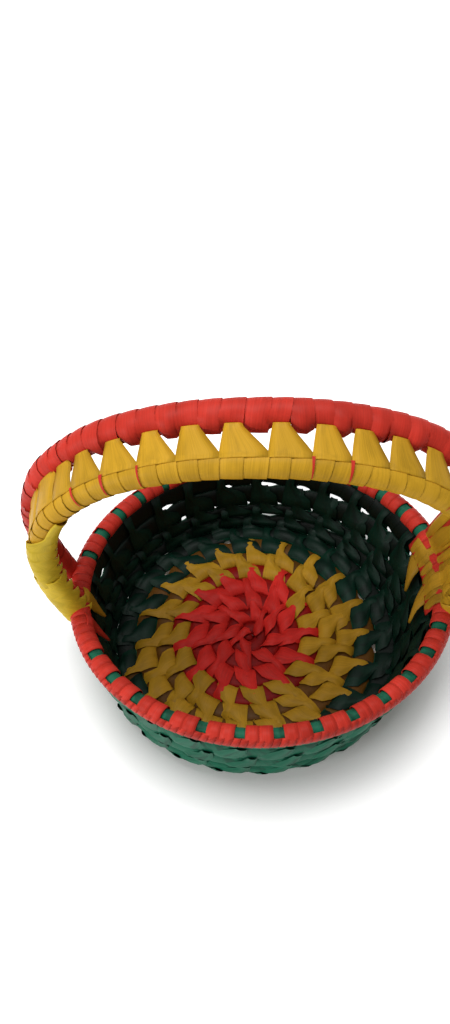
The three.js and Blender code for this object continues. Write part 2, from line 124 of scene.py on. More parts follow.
class RimShape(bpy.types.PropertyGroup):
    coil_radius: length("Coil radius", "Radius of the green rim coil", 3.7)
    tabs: bpy.props.IntProperty(
        name="Tabs", description="Pairs of red strips round the rim", default=34, min=3
    )
    foot_from: number("Foot from", "Azimuth in degrees where the green begins to be covered", 178.0)
    foot_to: number("Foot to", "Azimuth in degrees where the green shows again", 200.0)
    tab_share: number("Tab share", "Part of the rim that the red pairs cover", 0.7)
    band_low: number("Band low", "Lower edge of the band, in degrees round the rim coil", -52.0)
    band_high: number("Band high", "Upper edge of the band, in degrees round the rim coil", 48.0)


class HandleShape(bpy.types.PropertyGroup):
    half_span: length("Half span", "Half width of the arch", 107.1)
    rise: length("Rise", "Height of the arch over the rim", 110.2)
    foot_out: length("Foot out", "How far outside the rim's middle the feet stand", 4.7)
    tilt: number("Tilt", "Tilt of the pair of coils in degrees", 18.8)
    turn: number("Turn", "Turn of the handle seen from above, in degrees", -2.4)
    shift: length("Shift", "Place of the handle along Y", -4.9)
    spacing: length("Spacing", "Distance between the two coils", 24.4)
    red_radius: length("Red radius", "Radius of the red coil", 6.2)
    yellow_radius: length("Yellow radius", "Radius of the yellow coil", 5.6)
    foot_wraps: bpy.props.IntProperty(
        name="Foot wraps", description="Wraps below the tabs at each foot", default=5, min=1
    )
    lobe: length("Lobe", "How far the red leaf bulges out between the tabs", 2.4)
    tab_starts: bpy.props.FloatVectorProperty(
        name="Tab starts",
        description="Where each tab begins and the last one ends along the arch, in millimetres",
        default=(44, 59, 75, 90, 102, 118, 135, 152, 170, 190, 208, 224, 240, 256, 272, 288, 304, 319),
        size=18,
    )
    tip_width: length("Tip width", "Width of a tab where it tucks into the red coil", 7.4)


class LeafLook(bpy.types.PropertyGroup):
    red: colour("Red leaf", "Colour of the red leaf", (0.56, 0.034, 0.02))
    yellow: colour("Yellow leaf", "Colour of the yellow leaf", (0.58, 0.32, 0.018))
    green: colour("Green leaf", "Colour of the green leaf", (0.009, 0.125, 0.068))
    fresh: colour("Fresh leaf", "Colour of the unfaded red leaf of the floor's tabs", (0.64, 0.023, 0.017))
    # Painted light: the pale yellow is a lighter yellow for the stronger light on the left foot
    pale: colour("Pale leaf", "Colour of the faded yellow leaf at the handle's feet", (0.72, 0.51, 0.03))
    ribs: colour("Leaf ribs", "Colour of the bare leaf ribs", (0.55, 0.44, 0.24))
    # Painted shade: these tints darken the leaf inside the basket and between the stitch tabs
    painted_shade_red: colour("Red lining", "Tint of the red leaf inside the basket", (0.42, 0.12, 0.15))
    painted_shade_yellow: colour("Yellow lining", "Tint of the yellow leaf inside the basket", (0.19, 0.14, 0.3))
    painted_shade_green: colour("Green lining", "Tint of the green leaf inside the basket", (0.025, 0.028, 0.025))
    roughness: number("Roughness", "Roughness of the leaf", 0.42)


# Form of the basket


def smooth_step(value):
    value = min(max(value, 0), 1)
    return value * value * (3 - 2 * value)


def smooth_line(posts, steps):
    """Points on a smooth line through posts that may stand unevenly."""
    spans = [(after - before).length for before, after in zip(posts, posts[1:])]
    last = len(posts) - 1

    def direction(post):
        low, high = max(post - 1, 0), min(post + 1, last)
        return (posts[high] - posts[low]) / sum(spans[low:high])

    points = []
    for post, span in enumerate(spans):
        for step in range(steps + (post == last - 1)):
            t = step / steps
            rest = (2 * t**3 - 3 * t**2 + 1) * posts[post] + (3 * t**2 - 2 * t**3) * posts[post + 1]
            bend = (t**3 - 2 * t**2 + t) * direction(post) + (t**3 - t**2) * direction(post + 1)
            points.append(rest + bend * span)
    return points


def span_at(lengths, distance):
    """Index of the span of a rising list in which a distance falls; past an end, that end's span."""
    return min(max(bisect(lengths, distance) - 1, 0), len(lengths) - 2)


class Form:
    """The basket in millimetres: a section of floor, corner and wall, the spiral on it, and the rim."""

    # From this distance the rows thicken to the wall's, and this far on they are there
    WALL_FROM = 62
    WALL_BLEND = 24
    # Thickness of the leaf, least half width of the coil, and the row that ends under the rim
    LEAF = 0.3
    LEAST_HALF_WIDTH = 0.4
    THINNEST_ROW = 3.2
    # Radius at which a hole's length is measured round the basket
    HOLE_RADIUS = 95

    def __init__(self, shape, rim):
        self.shape = shape
        self.rim = rim
        self.slope = radians(shape.wall_slope)
        self.wall_half = shape.skin / 2
        self.floor_middle = self.wall_half - shape.standing_cut
        corner_top = self.floor_middle + shape.corner_radius * (1 - cos(self.slope))
        self.corner_length = shape.corner_radius * self.slope
        wall_length = (shape.rim_height - corner_top) / sin(self.slope)
        self.rim_at = shape.floor_radius + self.corner_length + wall_length
        pressed = 0.3
        self.wall_top = self.rim_at - rim.coil_radius + pressed
        low, high = map(Vector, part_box("rim_core"))
        centre = (low + high) / 2
        self.origin = Vector((centre.x, centre.y, 0))

    def section(self, along, inward):
        """Radius and height of a place: along the section from the floor's middle, inward from its line."""
        shape = self.shape
        past = along - shape.floor_radius
        turned = min(max(past / shape.corner_radius, 0), self.slope)
        on_floor = min(past, 0)
        on_wall = past - turned * shape.corner_radius if past > 0 else 0
        bend = shape.corner_radius - inward
        radius = shape.floor_radius + on_floor + bend * sin(turned) + on_wall * cos(turned)
        height = self.floor_middle + shape.corner_radius - bend * cos(turned) + on_wall * sin(turned)
        return radius, height

    def point(self, along, inward, azimuth):
        """A place in metres, given like the section's and turned to an azimuth."""
        shape = self.shape
        radius, height = self.section(along, inward)
        floor_part = 1 - min(max(along / shape.floor_radius, 0), 1)
        wall_part = min(max((along - shape.floor_radius) / (self.rim_at - shape.floor_radius), 0), 1)
        oval = shape.floor_oval * floor_part + shape.rim_oval * wall_part
        x = shape.floor_shift[0] * (1 - wall_part) + radius * (1 + oval) * cos(azimuth)
        y = shape.floor_shift[1] * (1 - wall_part) + radius * (1 - oval) * sin(azimuth)
        lowest = 0.15
        return self.origin + Vector((x, y, max(height, lowest))) * MM

    def azimuth(self, turn):
        """The coil winds outward clockwise seen from above. Whole turns are at the back."""
        return pi / 2 - tau * turn

    def edge(self, turn):
        """Outer edge of the row at a turn, measured along the section."""
        wound = turn - self.shape.level_back * cos(self.azimuth(turn)) / tau
        widths = self.shape.row_widths
        if wound < 0:
            return max(widths[0] * (1 + wound), 0)
        total = widths[0]
        for index, width in enumerate(widths[1:]):
            total += width * min(max(wound - index, 0), 1)
        return min(total, self.wall_top)

    def row(self, turn):
        """Middle, half width, half thickness and inward place of the coil at a turn."""
        shape = self.shape
        outer = self.edge(turn)
        inner = self.edge(turn - 1)
        wall_share = smooth_step(((outer + inner) / 2 - self.WALL_FROM) / self.WALL_BLEND)
        thick = shape.floor_coil + (shape.wall_coil - shape.floor_coil) * wall_share
        gap = shape.row_gap * (1 + wall_share)
        outer -= gap / 2 + self.opening(turn)
        inner += gap / 2 + self.opening(turn - 1)
        middle = (outer + inner) / 2
        half_width = max((outer - inner) / 2, self.LEAST_HALF_WIDTH)
        half_thickness = min(thick / 2, half_width * 1.5 + 0.5)
        low = shape.standing_cut * (1 - wall_share) + self.LEAF
        return middle, half_width, half_thickness, low - self.wall_half + half_thickness

    def opening(self, turn):
        """How far the rows on both sides of a turn's outer edge draw back to leave a hole."""
        edge = self.edge(turn)
        drawn_back = 0.0
        for along, azimuth, hole in WALL_HOLES:
            if abs(edge - along) < 5:
                apart = (self.azimuth(turn) - radians(azimuth) + pi) % tau - pi
                drawn_back = max(drawn_back, 1 - (apart * self.HOLE_RADIUS / (hole * 0.75)) ** 4)
        return drawn_back * self.shape.hole / 2

    def end_turn(self):
        """The turn at which the last row has thinned out under the rim."""
        turn = len(self.shape.row_widths) + 0.0
        while self.edge(turn) - self.edge(turn - 1) < self.THINNEST_ROW:
            turn -= 0.01
        return turn

    def run(self, turn):
        """Length of the coil for one whole turn at this row."""
        return tau * max(self.row(turn)[0], 3.0)

    def rim_point(self, out, angle, azimuth):
        """A place at a distance from the rim coil's middle. Angle 0 is outside, a quarter turn on top."""
        tilt = angle - self.slope
        return self.point(self.rim_at + out * cos(tilt), out * sin(tilt), azimuth)


class Arch:
    """The handle's middle line and the two coils beside it, in millimetres from the middle of the rim."""

    # Shares of the half span and of the rise
    SHOULDERS = ((0.95, 0.59), (0.86, 0.725), (0.63, 0.886), (0.32, 0.976))
    STEPS = 48

    def __init__(self, handle, form):
        self.handle = handle
        self.form = form
        foot = form.section(form.rim_at, 0)[0] * (1 + form.shape.rim_oval) + handle.foot_out
        span, rise = handle.half_span, handle.rise
        half = [(foot, 0), (foot + (span - foot) * 0.9, rise * 0.235), (span, rise * 0.42)]
        half += [(span * out, rise * up) for out, up in self.SHOULDERS]
        posts = [Vector((-out, 0, up)) for out, up in half]
        posts += [Vector((0, 0, rise))] + [Vector((out, 0, up)) for out, up in reversed(half)]
        self.points = smooth_line(posts, self.STEPS)
        self.lengths = [0.0]
        for before, after in zip(self.points, self.points[1:]):
            self.lengths.append(self.lengths[-1] + (after - before).length)
        self.length = self.lengths[-1]

    def at(self, distance):
        """Place and direction at a distance along the arch; past an end it runs straight on."""
        points, reach = self.points, 4
        low = span_at(self.lengths, distance)
        ahead = (points[low + 1] - points[low]).normalized()
        before = points[max(low - reach, 0)]
        after = points[min(low + 1 + reach, len(points) - 1)]
        return points[low] + ahead * (distance - self.lengths[low]), (after - before).normalized()

    def place(self, distance, back, up):
        """A place in metres beside the arch: back is towards the red coil and up away from the basket."""
        middle, ahead = self.at(distance)
        outward = Vector((-ahead.z, 0, ahead.x))
        side = Vector((0, 1, 0))
        tilt = radians(self.handle.tilt)
        towards_back = side * cos(tilt) + outward * sin(tilt)
        towards_top = outward * cos(tilt) - side * sin(tilt)
        point = middle + towards_back * back + towards_top * up + Vector((0, self.handle.shift, 0))
        point = Matrix.Rotation(radians(self.handle.turn), 3, "Z") @ point
        point.z += self.form.shape.rim_height
        return self.form.origin + point * MM


# Strips of leaf


class LeafSheet:
    """Collects bent strips of leaf in one mesh, each with its place on the leaf stored per vertex."""

    def __init__(self, name):
        self.name = name
        self.bm = bmesh.new()
        self.leaf = self.bm.verts.layers.float_vector.new("leaf")
        self.inside = self.bm.verts.layers.float.new("inside")
        self.random = random.Random(SEED + sum(map(ord, name)))

    def strip(self, lengthwise, across, size, place, tone=None, inside=None):
        """A grid of leaf bent by place(along, side): along runs 0 to 1 and side -1 to 1.

        inside(along) is 1 where the leaf gets painted shade, for the shade inside the basket.
        """
        if tone is None:
            tone = self.random.random()
        made = bmesh.ops.create_grid(self.bm, x_segments=lengthwise, y_segments=across, size=0.5)
        long, wide = size
        for vert in made["verts"]:
            along, side = vert.co.x + 0.5, vert.co.y * 2
            vert[self.leaf] = (side * wide / 2, along * long + tone * 500, tone)
            vert[self.inside] = inside(along) if inside else 0.0
            vert.co = place(along, side)

    def finish(self, colour, node, thickness=0.0, dye=None):
        """Makes the piece, with a dye of its own if its colour isn't the slot's, in place of a solid."""
        mesh = bpy.data.meshes.new(self.name)
        self.bm.normal_update()
        self.bm.to_mesh(mesh)
        self.bm.free()
        mesh.shade_smooth()
        piece = bpy.data.objects.new(self.name, mesh)
        bpy.context.collection.objects.link(piece)
        if thickness:
            wall = piece.modifiers.new("leaf thickness", "SOLIDIFY")
            wall.thickness = thickness * MM
            wall.offset = 0
        piece.data.materials.append(leaf_material(dye or colour))
        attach(piece, "root")
        if node:
            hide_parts(node)
        return piece


STRIP_THICKNESS = 0.4
# Share of a turn at each end of a wrap in which it steps over, and leaf and grid cells for one wrap
STEP_OVER = 0.18
LEAF_PER_WRAP = 36
CELLS_PER_WRAP = 14


def wound_leaf(sheet, place, run, width, wraps_per_strip, lift, hidden=-90, shaded=False):
    """Winds strips of leaf round a coil. place(distance, angle, out) is a point of the coil's surface.

    A wrap lies square across the coil and steps over to the next on the hidden side, an angle in degrees.
    Shaded leaf is darkened with painted shade where it faces inward, in the crevices between the tabs.
    """
    wraps = max(1, round(run / width))
    width = run / wraps

    def wind(start, count):
        tone = sheet.random.random()
        wobble = [sheet.random.uniform(-0.06, 0.06) for _ in range(count + 2)]
        lean = sheet.random.uniform(-0.12, 0.12)

        def angle_at(along):
            return radians(hidden) + tau * along * count

        def faces_in(along):
            return smooth_step(0.5 + 1.5 * sin(angle_at(along)))

        def bent(along, side):
            turns = along * count
            whole = min(int(turns), count)
            part = turns - whole
            drift = wobble[whole] + (wobble[whole + 1] - wobble[whole]) * part
            stepped = min(part / STEP_OVER, 1) + max((part - 1 + STEP_OVER) / STEP_OVER, 0)
            square = whole + stepped * 0.5 + lean * sin(tau * part)
            distance = (start + square + side * 0.54 + drift) * width
            crown = lift * (0.5 + side * 0.5) + 0.15 * (1 - side * side)
            return place(min(max(distance, 0), run), angle_at(along), crown)

        size = (count * LEAF_PER_WRAP, width)
        sheet.strip(CELLS_PER_WRAP * count, 3, size, bent, tone, faces_in if shaded else None)

    for start in range(0, wraps, wraps_per_strip):
        wind(start, min(wraps_per_strip, wraps - start))


def follow(stations, share):
    """A point on a smooth line through stations of equal numbers, share running 0 to 1."""
    position = share * (len(stations) - 1)
    index = min(int(position), len(stations) - 2)
    t = position - index
    before = stations[max(index - 1, 0)]
    here, there = stations[index], stations[index + 1]
    after = stations[min(index + 2, len(stations) - 1)]
    return [
        0.5 * (2 * b + (c - a) * t + (2 * a - 5 * b + 4 * c - d) * t * t + (3 * b - a - 3 * c + d) * t**3)
        for a, b, c, d in zip(before, here, there, after)
    ]


TAB_LENGTH = 44
# A stitch tab: the turns of its straight edge and its middle, and its widths over both rows
Tab = namedtuple("Tab", "edge turn width stem")


def stitch_places(form):
    """Tabs follow one another along the spiral, further apart as the rows grow."""
    closest, spread = 6.5, 0.22
    even_until, wall_spread = 39, 0.1
    red_breadth, breadth = 1.16, 1.04
    shape = form.shape
    chance = random.Random(SEED)
    tabs = []
    edge = shape.first_tab + 1
    while edge < form.end_turn():
        middle, half, _, _ = form.row(edge - 1)
        radius = form.section(middle - half * 0.5, 0)[0]
        pitch = min(closest + spread * radius, shape.tab_spacing)
        pitch += wall_spread * max(radius - even_until, 0)
        stem = min(shape.stem_width, pitch * 0.42)
        width = pitch * chance.uniform(0.84, 1.0) * (red_breadth if edge < shape.red_end else breadth)
        around = tau * max(radius, 2.5)
        tabs.append(Tab(edge, edge + width / 2 / around, width, stem))
        edge += pitch * chance.uniform(0.96, 1.04) / around
    return tabs


def leaf_of(form, turn):
    """Colour of the leaf at a turn of the spiral."""
    shape = form.shape
    if turn < shape.red_end:
        return "red"
    return "yellow" if turn < shape.yellow_end else "green"


def stitch_tab(sheet, form, tab, shaded):
    """A strip that leaves the coil's outer edge, lies over the row before it and tucks in beyond."""
    turn = tab.turn
    middle, half, thick, level = form.row(turn)
    below, below_half, below_thick, below_level = form.row(turn - 1)
    vary = sheet.random.uniform
    stem, wide = tab.stem * vary(0.9, 1.1), tab.width * vary(0.9, 1.05)
    lift = vary(0.2, 0.6)
    # Distance from the floor's middle, inward place and width, from the tab's root to its tucked end
    stations = [
        (middle + half * 0.98, level + thick * 0.2, stem * 0.8),
        (middle + half * 0.7, level + thick * 0.85 + 0.4, stem * 1.2),
        (middle - half * 0.05, level + thick + 1.5, stem),
        (middle - half * 0.75, level + thick * 0.9 + 1.5, stem * 1.05),
        (below + below_half * 0.85, below_level + below_thick * 0.9 + 0.9, stem + (wide - stem) * 0.5),
        (below + below_half * 0.35, below_level + below_thick + 1.0 + lift, stem + (wide - stem) * 0.86),
        (below - below_half * 0.4, below_level + below_thick + 1.0 + lift, stem + (wide - stem) * 0.95),
        (below - below_half * 0.98, below_level + below_thick * 0.65 + 0.6, wide),
        (below - below_half * 1.12, below_level - below_thick * 0.1, wide * 0.95),
        (below - below_half * 0.8, below_level - below_thick * 0.75, wide * 0.9),
        (below, below_level - below_thick - 0.3, wide * 0.8),
        (below + below_half * 0.9, below_level - below_thick * 0.8 - 0.3, stem * 1.4),
        (middle - half * 0.2, level - thick - 0.3, stem),
    ]

    def bent(along, side):
        place, inward, width = follow(stations, along)
        radius = max(form.section(place, 0)[0], 4.0)
        curl = (0.3 + width * 0.085) * (0.4 * side * side + 0.6 * side**4)
        inward -= curl if along < 0.6 else -curl
        across = (side + 1) * width / 2
        return form.point(place, inward, form.azimuth(tab.edge) - across / radius)

    # The part that lies over the row before gets painted shade
    sheet.strip(12, 4, (TAB_LENGTH, wide), bent, None, lambda along: shaded * (along < 0.62))


def build_coils(form):
    """The spiral's seven stretches of leaf, each with the stitch tabs of its own leaf."""
    shape = form.shape
    start, end = -0.8, form.end_turn()
    wraps_per_strip, lift, hidden = 5, 0.25, -90
    nodes = [f"floor_coil_{colour}" for colour in ("red", "yellow", "green")]
    nodes += [f"wall_coil_{row}" for row in range(1, 5)]
    turns = [start, shape.red_end, *(shape.yellow_end + row for row in range(5)), end]
    tabs = stitch_places(form)
    for node, first, last in zip(nodes, turns, turns[1:]):
        steps = 400
        lengths = [0.0]
        for step in range(steps):
            turn = first + (last - first) * (step + 0.5) / steps
            lengths.append(lengths[-1] + form.run(turn) * (last - first) / steps)

        def place(distance, angle, out, lengths=lengths, first=first, last=last, steps=steps):
            low = span_at(lengths, distance)
            share = (low + (distance - lengths[low]) / (lengths[low + 1] - lengths[low])) / steps
            turn = first + (last - first) * share
            middle, half_width, half_thickness, level = form.row(turn)
            inward = level + (half_thickness - shape.sunk + out) * sin(angle)
            across = (half_width + out) * cos(angle)
            return form.point(middle + across, inward, form.azimuth(turn))

        colour = leaf_of(form, (first + last) / 2)
        coil = LeafSheet(node + "_leaf")
        # The wraps get painted shade on their inward side, between the tabs
        wound_leaf(coil, place, lengths[-1], shape.strip_width, wraps_per_strip, lift, hidden, True)
        coil.finish(colour, node)
        stitches = LeafSheet(node + "_tabs")
        for tab in tabs:
            if first <= tab.edge < last:
                stitch_tab(stitches, form, tab, TAB_PAINTED_SHADE["wall" if "wall" in node else colour])
        stitches.finish(colour, None, 0.0, "fresh" if colour == "red" else None)


RIM_STRIP = (22, 6)


def build_rim(form):
    """The green rim coil, the red band on its outside and the pairs of strips over it."""
    wrap_width, wraps_per_strip, lift = 9.5, 6, 0.2
    band_lift, band_steps, slant = 0.75, 5, 0.88
    strip_lift, strip_from, strip_to, overlap = 1.15, 20, 215, 1.06
    rim = form.rim
    coil = LeafSheet("rim_coil_leaf")
    around = tau * form.section(form.rim_at, 0)[0]

    def on_rim(distance, angle, out):
        return form.rim_point(rim.coil_radius + out, angle, tau * distance / around)

    wound_leaf(coil, on_rim, around, wrap_width, wraps_per_strip, lift)
    coil.finish("green", "rim_coil_green")

    binding = LeafSheet("rim_binding_leaf")
    low, high = radians(rim.band_low), radians(rim.band_high)
    outer = rim.coil_radius + band_lift
    pieces = rim.tabs * band_steps
    for step in range(pieces):

        def band(along, side, step=step):
            azimuth = tau * (step + 0.5 + side * 0.6 + slant * (along - 0.5)) / pieces
            edge = 0.35 * (1 - (2 * along - 1) ** 4)
            return form.rim_point(outer + 0.2 * (side + 1) + edge, low + (high - low) * along, azimuth)

        binding.strip(8, 2, (9, around / pieces), band)
    for tab in range(rim.tabs):
        gap = tab + (1 + rim.tab_share) / 2
        at_foot = rim.foot_from <= degrees(tau * gap / rim.tabs) <= rim.foot_to
        strips = 3 if at_foot else 2
        share = (1 if at_foot else rim.tab_share) / strips
        for strip in range(strips):
            centre = tab + share * (strip + 0.5)
            reach = radians(strip_to + binding.random.uniform(-6, 10))
            slope = binding.random.uniform(-0.02, 0.02)

            def over(along, side, centre=centre, share=share, reach=reach, slope=slope):
                angle = radians(strip_from) + (reach - radians(strip_from)) * along
                azimuth = tau * (centre + side * share * overlap / 2 + slope * along) / rim.tabs
                tucked = smooth_step((along - 0.85) / 0.15)
                out = rim.coil_radius + strip_lift - 0.5 * tucked + 0.12 * (1 - side * side)
                return form.rim_point(out, angle, azimuth)

            binding.strip(16, 3, RIM_STRIP, over)
    binding.finish("red", "rim_binding_red", 0.3)


HANDLE_TAB_LENGTH = 26


def build_handle(form, handle):
    """The two wrapped coils of the handle and the yellow tabs between them."""
    # Below this distance the tabs widen to the full at their tips, over the second distance
    full_below, full_over = 100, 30
    wrap_lift, hidden, wraps_per_strip, lobe_angle = 0.5, -63, 4, 208
    arch = Arch(handle, form)
    yellow, red = -handle.spacing / 2, handle.spacing / 2
    low, high = handle.yellow_radius, handle.red_radius
    starts = list(handle.tab_starts)
    seams = [starts[0] * wrap / handle.foot_wraps for wrap in range(handle.foot_wraps)]
    for before, after in zip(starts, starts[1:]):
        seams += [before, before + (after - before) * 0.48]
    rest = (arch.length - starts[-1]) / handle.foot_wraps
    seams += [starts[-1] + rest * wrap for wrap in range(handle.foot_wraps + 1)]
    wraps = len(seams) - 1

    def spread(distance):
        """Moves evenly spaced wraps so that two of them lie under each tab."""
        position = distance / arch.length * wraps
        wrap = min(int(position), wraps - 1)
        return seams[wrap] + (seams[wrap + 1] - seams[wrap]) * (position - wrap)

    def bulge(distance, angle):
        """The red leaf hangs out between the tips of the tabs, on the side that faces the yellow coil."""
        for before, after in zip(starts, starts[1:]):
            if before <= distance < after:
                near_foot = smooth_step((full_below - before) / full_over)
                tip = handle.tip_width + (after - before - 4 - handle.tip_width) * near_foot
                low_edge = smooth_step((distance - before - tip - 1) / 2.6)
                high_edge = smooth_step((after + 1.2 - distance) / 1.6)
                hang = smooth_step(0.5 + 0.75 * cos(angle - radians(lobe_angle)))
                return handle.lobe * hang * low_edge * high_edge
        return 0.0

    for colour, back, radius in (("red", red, high), ("yellow", yellow, low)):
        coil = LeafSheet(f"handle_{colour}_leaf")

        def place(distance, angle, out, back=back, radius=radius, colour=colour):
            distance = spread(distance)
            reach = radius + out + (bulge(distance, angle) if colour == "red" else 0)
            return arch.place(distance, back + reach * cos(angle), reach * sin(angle))

        wound_leaf(coil, place, arch.length, arch.length / wraps, wraps_per_strip, wrap_lift, hidden)
        coil.finish(colour, f"handle_coil_{colour}")

    tabs = LeafSheet("handle_tabs")
    slivers = LeafSheet("handle_red_slivers")
    for start, after in zip(starts, starts[1:]):
        wide = after - start
        tip = min(handle.tip_width * tabs.random.uniform(0.92, 1.08), wide * 0.6)
        tip += (wide * 0.88 - tip) * smooth_step((full_below - start) / full_over)
        # Place towards the back and up, width, and how far the left edge has moved on
        stations = [
            (yellow + low * 0.1, low + 0.6, wide, 0),
            (yellow + low * 0.48, low * 0.87 + 0.8, wide, 0),
            (yellow + low * 0.75, low * 0.85 + 0.7, wide * 0.98, 0),
            (yellow + low * 1.6, low * 0.72 + 0.5, wide - (wide - tip) * 0.38, 0.5),
            (red - high * 1.5, high * 0.45 + 0.5, tip + 1.7, 1.3),
            (red - high * 1.2, high * 0.42 + 0.6, tip + 0.2, 1.7),
            (red - high * 1.05, high * 0.36 + 0.9, tip, 1.8),
            (red - high * 1.0, high * 0.3 + 0.5, tip, 1.8),
        ]

        def bent(along, side, start=start, stations=stations):
            back, up, width, moved = follow(stations, along)
            return arch.place(start + moved + (side + 1) * width / 2, back, up - 0.25 * side**4)

        tabs.strip(14, 4, (HANDLE_TAB_LENGTH, wide), bent)
        if slivers.random.random() < 0.6:
            sliver = slivers.random.uniform(0.5, 0.9)

            def between(along, side, start=start, sliver=sliver):
                angle = radians(75 + 95 * along)
                reach = low + 0.75
                distance = start + 0.3 + side * sliver * (1 - 0.7 * along)
                return arch.place(distance, yellow + reach * cos(angle), reach * sin(angle))

            slivers.strip(8, 1, (10, 2), between)
    slivers.finish("red", None)
    tabs.finish("yellow", None, STRIP_THICKNESS)


RIBBON_LENGTH = 60
WEB_STRIPS = 8


def build_feet(form, handle):
    """The strips that sheathe the handle's ends, and the ends that lie over the rim and tuck in inside."""
    arch = Arch(handle, form)
    tooth_pitch, tooth_depth, last_depth, sheath_width = 7.6, 52, 20, 26
    # Side, leaf, both ends along the arch, lift, first and last angle, first angle at the far end
    sheaths = [
        ("left", "red", -3, 44, 0.3, 200, 325, 200),
        ("left", "yellow", 27, 84, 1.4, 20, 258, 170),
        ("left", "yellow", -4, 31, 2.0, 20, 262, 20),
        ("right", "yellow", -4, 27, 1.2, 20, 225, 20),
        ("right", "yellow", 22, 50, 0.8, 20, 225, 20),
    ]
    for index, (side_name, colour, low, high, out, first, last, first_high) in enumerate(sheaths):
        sheet = LeafSheet(f"{side_name}_sheath_{index + 1}")
        span = (low, high, out, first, last, first_high)

        def sheathed(along, side, side_name=side_name, span=span):
            low, high, out, first, last, first_high = span
            first += (first_high - first) * smooth_step((along - 0.35) / 0.4)
            distance = low + (high - low) * along
            tooth = ((high - low) * along / tooth_pitch) % 1
            depth = tooth_depth if along < 0.86 else last_depth
            reach = last + 16 - depth * min(tooth / 0.75, (1 - tooth) / 0.25)
            angle = radians(first + (reach - first) * (side + 1) / 2)
            radius = handle.yellow_radius + out + 0.5 * sin(angle * 3 + along * 4)
            if side_name == "right":
                distance = arch.length - distance
            return arch.place(distance, -handle.spacing / 2 + radius * cos(angle), radius * sin(angle))

        sheet.strip(round((high - low) * 1.4), 10, (high - low, sheath_width), sheathed)
        # Painted light: the left foot's yellow sheaths are lighter, for the stronger light on that side
        paler = colour == "yellow" and side_name == "left"
        sheet.finish(colour, None, STRIP_THICKNESS, "pale" if paler else None)
    inner_face = form.wall_half + 1.6

    def ribbon(sheet, posts, azimuth, wide, tapered):
        """A strip along posts, level across, which may taper to a point."""
        centre = radians(azimuth)
        across = Vector((-sin(centre), cos(centre), 0)) * wide / 2 * MM
        bow = Vector((cos(centre), sin(centre), 0)) * 0.8 * MM

        def bent(along, side):
            narrowed = 1 - 0.85 * max(along - 0.7, 0) / 0.3 if tapered else 1
            return Vector(follow(posts, along)) + across * side * narrowed + bow * side * side

        # Painted shade on the part of the strip that lies inside the basket
        def in_shade(along):
            return 0.45 * smooth_step((along - 0.25) / 0.4)

        sheet.strip(18, 4, (RIBBON_LENGTH, wide), bent, None, in_shade)

    # Node, leaf, azimuth in degrees, reach down the wall and width
    left_ends = [("left_strip_yellow", "yellow", 185.5, 19, 9), ("left_strip_red", "red", 196, 21, 8)]
    for node, colour, azimuth, reach, wide in left_ends:
        sheet = LeafSheet(node + "_leaf")
        centre = radians(azimuth)
        over_rim = form.rim.coil_radius + 1.9
        posts = [form.rim_point(over_rim, radians(angle), centre) for angle in (125, 155, 180)]
        posts.append(form.point(form.rim_at - 9, inner_face, centre))
        posts.append(form.point(form.rim_at - reach, inner_face + 1.5, centre))
        ribbon(sheet, posts, azimuth, wide, True)
        sheet.finish(colour, node, STRIP_THICKNESS)

    def web(share, out, sag):
        """Azimuth and posts of a strip from the yellow coil to the rim; share runs down the foot."""
        azimuth = 17 - 30 * share
        centre = radians(azimuth)
        distance = arch.length - 86 + 78 * share
        top = arch.place(distance, -handle.spacing / 2 + 4, -handle.yellow_radius - out)
        reach = form.rim.coil_radius + 1.2 + out
        rim, over = [form.rim_point(reach, radians(angle), centre) for angle in (105, 170)]
        sagged = (top + rim) / 2 - Vector((sag, 0, sag)) * MM
        return azimuth, [top, sagged, rim, over, form.point(form.rim_at - 8, inner_face, centre)]

    under = LeafSheet("right_web_red")
    for strip in range(WEB_STRIPS):
        azimuth, posts = web((strip + 0.5) / WEB_STRIPS, 0.4, 0.5)
        ribbon(under, posts, azimuth, 9, False)
    under.finish("red", None, STRIP_THICKNESS)
    for node, first in (("right_strip_yellow_1", 0), ("right_strip_yellow_2", WEB_STRIPS // 2)):
        sheet = LeafSheet(node + "_leaf")
        for strip in range(first, first + WEB_STRIPS // 2):
            azimuth, posts = web((strip + 0.5) / WEB_STRIPS, 1.1, 1.5)
            ribbon(sheet, posts, azimuth, sheet.random.uniform(4.4, 6.6), False)
        azimuth, posts = web((first + 1.6) / WEB_STRIPS, 1.5, 1.8)
        for back, inward, turn in ((14, 3.5, 3), (24, 2.0, 6)):
            posts.append(form.point(form.rim_at - back, form.wall_half + inward, radians(azimuth - turn)))
        ribbon(sheet, posts, azimuth, 12, True)
        sheet.finish("yellow", node, STRIP_THICKNESS)


# Materials


class Wire:
    """A shader socket that Python's operators work on."""

    def __init__(self, tree, socket):
        self.tree = tree
        self.socket = socket

    def maths(self, operation, *values):
        return self.tree.node("ShaderNodeMath", {"operation": operation}, values)

    def __add__(self, other):
        return self.maths("ADD", self, other)

    __radd__ = __add__

    def __mul__(self, other):
        return self.maths("MULTIPLY", self, other)

    __rmul__ = __mul__

    def __sub__(self, other):
        return self.maths("SUBTRACT", self, other)

    def __rsub__(self, other):
        return self.maths("SUBTRACT", other, self)


